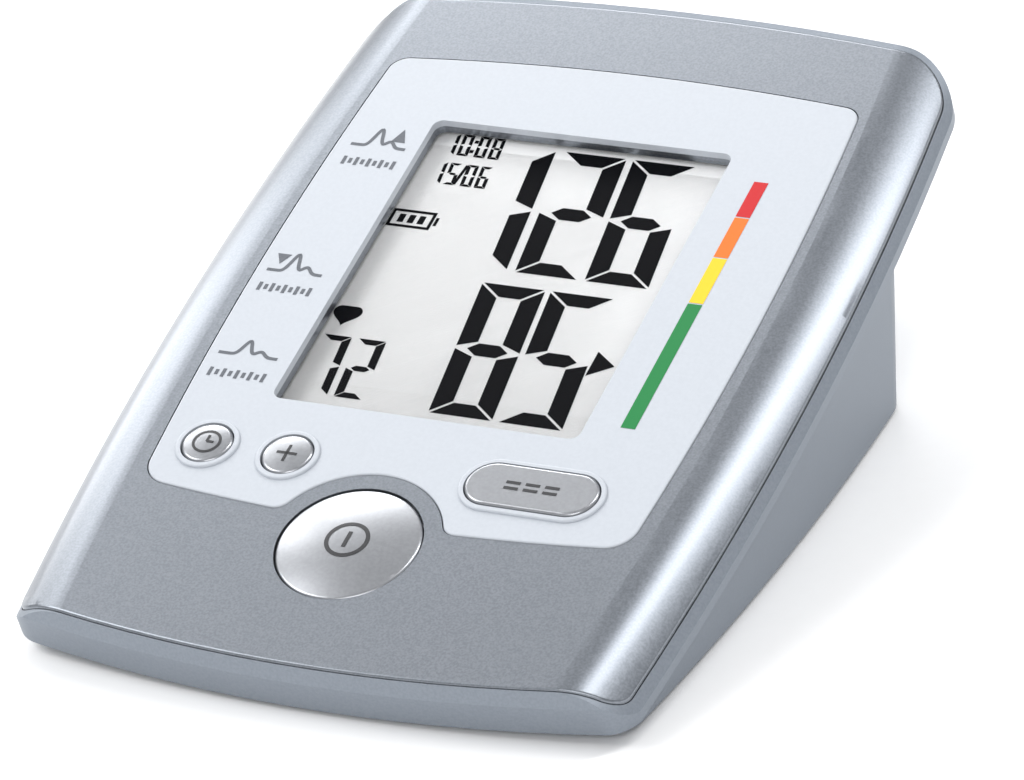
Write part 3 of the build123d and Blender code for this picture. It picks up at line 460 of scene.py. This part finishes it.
def digitStrokes(row):
    # seven bars round an upright figure of eight, then leaned by the slant
    strokes = []
    upright = row["stroke"] / 2
    level = upright * display["levelShare"]
    half = row["width"] / 2 - upright
    bottom, top = row["low"] + level, row["high"] - level
    waist = (row["low"] + row["high"]) / 2
    levelCorner, uprightCorner, uprightWaist = (upright, upright), (level, level), (0, level)
    bars = {
        "a": ((-half, top), (half, top), (0, 1), level, (levelCorner, levelCorner)),
        "b": ((half, top), (half, waist), (1, 0), upright, (uprightCorner, uprightWaist)),
        "c": ((half, waist), (half, bottom), (1, 0), upright, (uprightWaist, uprightCorner)),
        "d": ((-half, bottom), (half, bottom), (0, -1), level, (levelCorner, levelCorner)),
        "e": ((-half, waist), (-half, bottom), (-1, 0), upright, (uprightWaist, uprightCorner)),
        "f": ((-half, top), (-half, waist), (-1, 0), upright, (uprightCorner, uprightWaist)),
    }
    tip = half - display["joint"] * upright
    middleBar = [(-tip, waist), (upright - tip, waist), (tip - upright, waist), (tip, waist)]
    for figure, middle in zip(row["text"], row["middles"]):
        for letter in display["segments"][figure]:
            if letter == "g":
                left, right, closed = stroke(middleBar, [display["tip"], level, level, display["tip"]])
            else:
                left, right, closed = segmentSlab(*bars[letter])
            for edge in (left, right):
                edge[:, 0] += middle + (edge[:, 1] - waist) * display["slant"]
            strokes.append((left, right, closed))
    return strokes


def heartSlab(heart):
    # both edges of a heart by its sine and cosine series, 32 wide, ruled straight across
    angle = np.linspace(0, np.pi, heart["count"])
    across = np.maximum(16 * np.sin(angle) ** 3, heart["least"])
    up = 13 * np.cos(angle) - 5 * np.cos(2 * angle) - 2 * np.cos(3 * angle) - np.cos(4 * angle)
    right = np.stack([across, up], 1) * heart["size"] / 32
    middle = (heart["u"], heart["s"])
    return right * (-1, 1) + middle, right + middle, False


def arrowSlab(base, tip, width, blunt=0.02):
    # a triangle ruled from its base to its tip
    base, tip = np.array(base, float), np.array(tip, float)
    along = (tip - base) / np.linalg.norm(tip - base)
    aside = np.array([-along[1], along[0]]) * width / 2
    reach = np.array([1, blunt])[:, None]
    middle = np.stack([base, tip])
    return middle - aside * reach, middle + aside * reach, False


def colonSlabs(colon):
    half = colon["size"] / 2
    return [
        stroke(line((colon["u"], s - half), (colon["u"], s + half)), half)
        for s in (colon["low"], colon["high"])
    ]


def batterySlabs(battery):
    # an outline with a nub and a row of bars inside it
    left, right, low, high = (battery[key] for key in ("left", "right", "low", "high"))
    half = battery["line"] / 2
    inside = battery["inside"] * half
    lines = [
        ((left, low), (right, low)), ((left, high), (right, high)),
        ((left, low - half), (left, high + half)), ((right, low - half), (right, high + half)),
        ((right + inside, low + inside), (right + inside, high - inside)),
    ]
    slabs = [stroke(line(*places), half) for places in lines]
    pitch = (right - left) / (battery["bars"] + 1)
    for step in range(battery["bars"]):
        u = left + pitch * (step + 1)
        slabs.append(stroke(line((u, low + inside), (u, high - inside)), pitch * battery["barShare"]))
    return slabs


slabs = []
for row in ("upper", "lower", "pulse", "hours", "days"):
    slabs += digitStrokes(display[row])
slabs += colonSlabs(display["colon"])
slabs.append(stroke(line(display["slash"]["from"], display["slash"]["to"]), display["slash"]["width"] / 2))
slabs += batterySlabs(display["battery"])
slabs.append(heartSlab(display["heart"]))
pointer = display["pointer"]
slabs.append(arrowSlab((pointer["left"], pointer["s"]), (pointer["right"], pointer["s"]), pointer["height"]))
glassSurface = flatSurface(face["glassTop"])
putSlabs("displaySegments", slabs, glassSurface, materials["displaySegment"], "housing")
print("display digits")


# Prints on the fascia
colourScale = {
    "left": 27.96,
    "right": 30.2,
    "gap": 0.25,
    "bands": [("scaleGreen", "#067a3a", 52.8, 78.5), ("scaleYellow", "#ecc41c", 78.5, 88.1),
              ("scaleOrange", "#e8701c", 88.1, 96.7), ("scaleRed", "#c01018", 96.7, 104.4)],
}

fasciaSurface = flatSurface(face["fasciaTop"])
middle = (colourScale["left"] + colourScale["right"]) / 2
half = (colourScale["right"] - colourScale["left"]) / 2
for name, hexText, low, high in colourScale["bands"]:
    ink = makePrintedColour(name + "Print", hexText)
    edges = line((middle, low + colourScale["gap"] / 2), (middle, high - colourScale["gap"] / 2))
    putSlabs(name, [stroke(edges, half)], fasciaSurface, ink, "housing")

# three plain signs beside the display: pressure at its highest, at its lowest, and the pulse.
# A peak gives its place along the wave, its width and its height, and a mark its place across
# the wave and the heights of its base and tip, all as shares of the sign
signs = {
    "line": 0.55,
    "highest": {"u": -32.4, "s": 104.0, "width": 9.0, "height": 4.6, "mark": (0.30, -0.1, 0.5)},
    "lowest": {"u": -33.6, "s": 76.2, "width": 9.0, "height": 4.6, "mark": (-0.34, 0.35, -0.1)},
    "pulse": {"u": -33.0, "s": 58.2, "width": 9.6, "height": 3.6},
    "peaks": ((0.42, 0.09, 1), (0.68, 0.10, 0.35)),
    "waveCount": 60,
    "waveShare": 0.8,
    "markShare": 0.5,
    "rowDrop": 5.4,
    "rowShare": 0.9,
    "ticks": 9,
    "tickHeight": 1.7,
    "shortTick": 0.6,
}


def waveSlab(place):
    # a pressure wave: the sum of two bell curves, one sharp rise and a small second one
    share = np.linspace(0, 1, signs["waveCount"])
    rise = sum(high * np.exp(-((share - peak) / wide) ** 2) for peak, wide, high in signs["peaks"])
    path = np.stack([place["u"] + (share - 0.5) * place["width"],
                     place["s"] + (rise - 0.5) * place["height"] * signs["waveShare"]], 1)
    return stroke(path, signs["line"] / 2)


def tickSlabs(place):
    # a row of short upright lines like a ruler's, every other one shorter
    slabs = []
    low = place["s"] - signs["rowDrop"]
    for step in range(signs["ticks"]):
        u = place["u"] + (step / (signs["ticks"] - 1) - 0.5) * place["width"] * signs["rowShare"]
        height = signs["tickHeight"] * (1 if step % 2 == 0 else signs["shortTick"])
        slabs.append(stroke(line((u, low - height / 2), (u, low + height / 2)), signs["line"] / 2))
    return slabs


def markSlab(place):
    # the arrow that points at the wave's top or foot
    across, base, tip = place["mark"]
    u = place["u"] + place["width"] * across
    low, high = (place["s"] + share * place["height"] for share in (base, tip))
    return arrowSlab((u, low), (u, high), place["height"] * signs["markShare"])


slabs = []
for key in ("highest", "lowest", "pulse"):
    slabs.append(waveSlab(signs[key]))
    slabs += tickSlabs(signs[key])
slabs += [markSlab(signs[key]) for key in ("highest", "lowest")]
putSlabs("fasciaSigns", slabs, fasciaSurface, materials["greyPrint"], "housing")
print("prints on the fascia")


# Signs on the buttons
caps = {
    "start": {"u": -1.9, "s": 24.3, "radius": 10.6, "edge": 7.4, "crown": 8.4, "ring": 3.0,
              "line": 0.62, "bar": 1.5},
    "set": {"u": -31.0, "s": 38.7, "radius": 3.8, "edge": 8.05, "crown": 8.3, "ring": 2.0,
            "line": 0.42, "longHand": 0.62, "shortHand": 0.55},
    "plus": {"u": -18.1, "s": 38.7, "radius": 3.8, "edge": 8.05, "crown": 8.3, "arm": 1.6,
             "line": 0.45},
    "memory": {"u": 20.4, "s": 38.7, "top": 8.3, "bars": 3, "length": 2.2, "pitch": 3.0,
               "line": 0.5, "spread": 1.1},
}


def curvedBar(cap, low, high, count):
    # a straight bar cut in short steps, so that it follows the cap's dome
    centre = np.array((cap["u"], cap["s"]))
    return stroke(np.linspace(centre + low, centre + high, count), cap["line"] / 2)


def capRing(cap):
    return stroke(ring((cap["u"], cap["s"]), cap["ring"]), cap["line"] / 2, True)


def putSign(name, slabs, surface, body):
    putSlabs(name, slabs, surface, materials["blackPrint"], body)


start = caps["start"]
bar = start["bar"]
putSign("startSign", [
    capRing(start),
    curvedBar(start, (0, -bar), (0, bar), 6),
], domeSurface(start), "start_stop_button")

clock = caps["set"]
longHand, shortHand = clock["ring"] * clock["longHand"], clock["ring"] * clock["shortHand"]
putSign("setSign", [
    capRing(clock),
    curvedBar(clock, (0, 0), (0, longHand), 4),
    curvedBar(clock, (0, 0), (shortHand, 0), 4),
], domeSurface(clock), "set_button")

plus = caps["plus"]
arm = plus["arm"]
putSign("plusSign", [
    curvedBar(plus, (-arm, 0), (arm, 0), 6),
    curvedBar(plus, (0, -arm), (0, arm), 6),
], domeSurface(plus), "plus_button")

memory = caps["memory"]
reach = memory["length"] / 2
slabs = []
for step in range(memory["bars"]):
    u = memory["u"] + (step - (memory["bars"] - 1) / 2) * memory["pitch"]
    for side in (-1, 1):
        s = memory["s"] + side * memory["line"] * memory["spread"]
        slabs.append(stroke(line((u - reach, s), (u + reach, s)), memory["line"] / 2))
putSign("memorySign", slabs, flatSurface(memory["top"]), "memory_button")
print("signs on the buttons")


# Camera, at the photograph's angle
camera = {
    "focalPixels": 6347.71,
    "imageWidth": 1024,
    "distance": 870.136,
    "elevation": 28.58,
    "azimuth": -29.05,
    "roll": 7.01,
    "across": -28.356,
    "upward": -41.606,
    "origin": (0.0, -64.9046, 2.396),
    "sensor": 36.0,
    "clip": (0.01, 100),
}


def placeCamera():
    # the object's point is turned by the azimuth, seen from the elevation, rolled and moved across
    turn, lift, roll = (np.radians(camera[key]) for key in ("azimuth", "elevation", "roll"))
    right = np.array([np.cos(turn), -np.sin(turn), 0])
    ahead = np.array([np.sin(turn), np.cos(turn), 0])
    up = ahead * np.sin(lift) + np.array([0, 0, np.cos(lift)])
    view = ahead * np.cos(lift) - np.array([0, 0, np.sin(lift)])
    imageRight = right * np.cos(roll) - up * np.sin(roll)
    imageUp = right * np.sin(roll) + up * np.cos(roll)
    place = -imageRight * camera["across"] - imageUp * camera["upward"] - view * camera["distance"]
    place = (place + camera["origin"]) * mm
    data = bpy.data.cameras.new("photoCamera")
    data.sensor_width = camera["sensor"]
    data.lens = camera["focalPixels"] * camera["sensor"] / camera["imageWidth"]
    data.clip_start, data.clip_end = camera["clip"]
    body = addObject("photoCamera", data)
    axes = Matrix([imageRight, imageUp, -view]).transposed().to_4x4()
    body.matrix_world = Matrix.Translation(Vector(place)) @ axes
    bpy.context.scene.camera = body


placeCamera()


# Studio: pale floor, soft panels round the object and an even pale sky
studio = {
    "floorSize": 12.0,
    "paper": {"dark": "#fafafa", "light": "#fdfdfd", "rough": 0.9, "specular": 0.1,
              "fibre": 3.0, "detail": 4.0},
    "skyColour": "#f2f3f5",
    "skyStrength": 0.62,
    "panels": [
        # name, where it stands, width, length, power
        ("keyPanel", (-1.0, -0.3, 1.1), 0.8, 0.8, 11.0),
        ("backPanel", (-0.55, 0.85, 0.7), 0.5, 0.5, 5.0),
        ("rightStrip", (0.42, 0.40, 0.85), 0.10, 0.9, 4.5),
        ("leftStrip", (-0.9, 0.55, 0.5), 0.16, 0.9, 2.5),
        ("frontPanel", (0.35, -1.1, 0.75), 0.8, 0.5, 5.0),
    ],
    "target": (0, 0, 0.02),
}


def placePanel(name, place, width, length, power):
    data = bpy.data.lights.new(name, "AREA")
    data.shape, data.size, data.size_y = "RECTANGLE", width, length
    data.energy = power
    lamp = addObject(name, data)
    lamp.location = place
    lamp.rotation_mode = "QUATERNION"
    lamp.rotation_quaternion = (Vector(studio["target"]) - Vector(place)).to_track_quat("-Z", "Y")


def makeFloorPaint():
    # Matt white seamless paper, faintly fibrous
    paper = studio["paper"]
    material, tree, place, shader = newMaterial("seamlessPaper", {
        "Roughness": paper["rough"], "Specular IOR Level": paper["specular"],
    })
    fibre = putNoise(tree, place, paper["fibre"], paper["detail"])
    dark, light = linearColour(paper["dark"]), linearColour(paper["light"])
    putRamp(tree, fibre, shader.inputs["Base Color"], dark, light)
    return material


half = studio["floorSize"] / 2
corners = np.array([[-half, -half, 0], [half, -half, 0], [half, half, 0], [-half, half, 0]])
floorMesh = bpy.data.meshes.new("floor")
floorMesh.from_pydata(corners.tolist(), [], [[0, 1, 2, 3]])
floorMesh.materials.append(makeFloorPaint())
floor = addObject("floor", floorMesh)
for panel in studio["panels"]:
    placePanel(*panel)
sky = bpy.data.worlds.new("paleSky")
sky.use_nodes = True
sky.node_tree.nodes["Background"].inputs["Color"].default_value = linearColour(studio["skyColour"])
sky.node_tree.nodes["Background"].inputs["Strength"].default_value = studio["skyStrength"]
bpy.context.scene.world = sky
bpy.context.scene.view_settings.view_transform = "Standard"
print("camera, floor and lights")
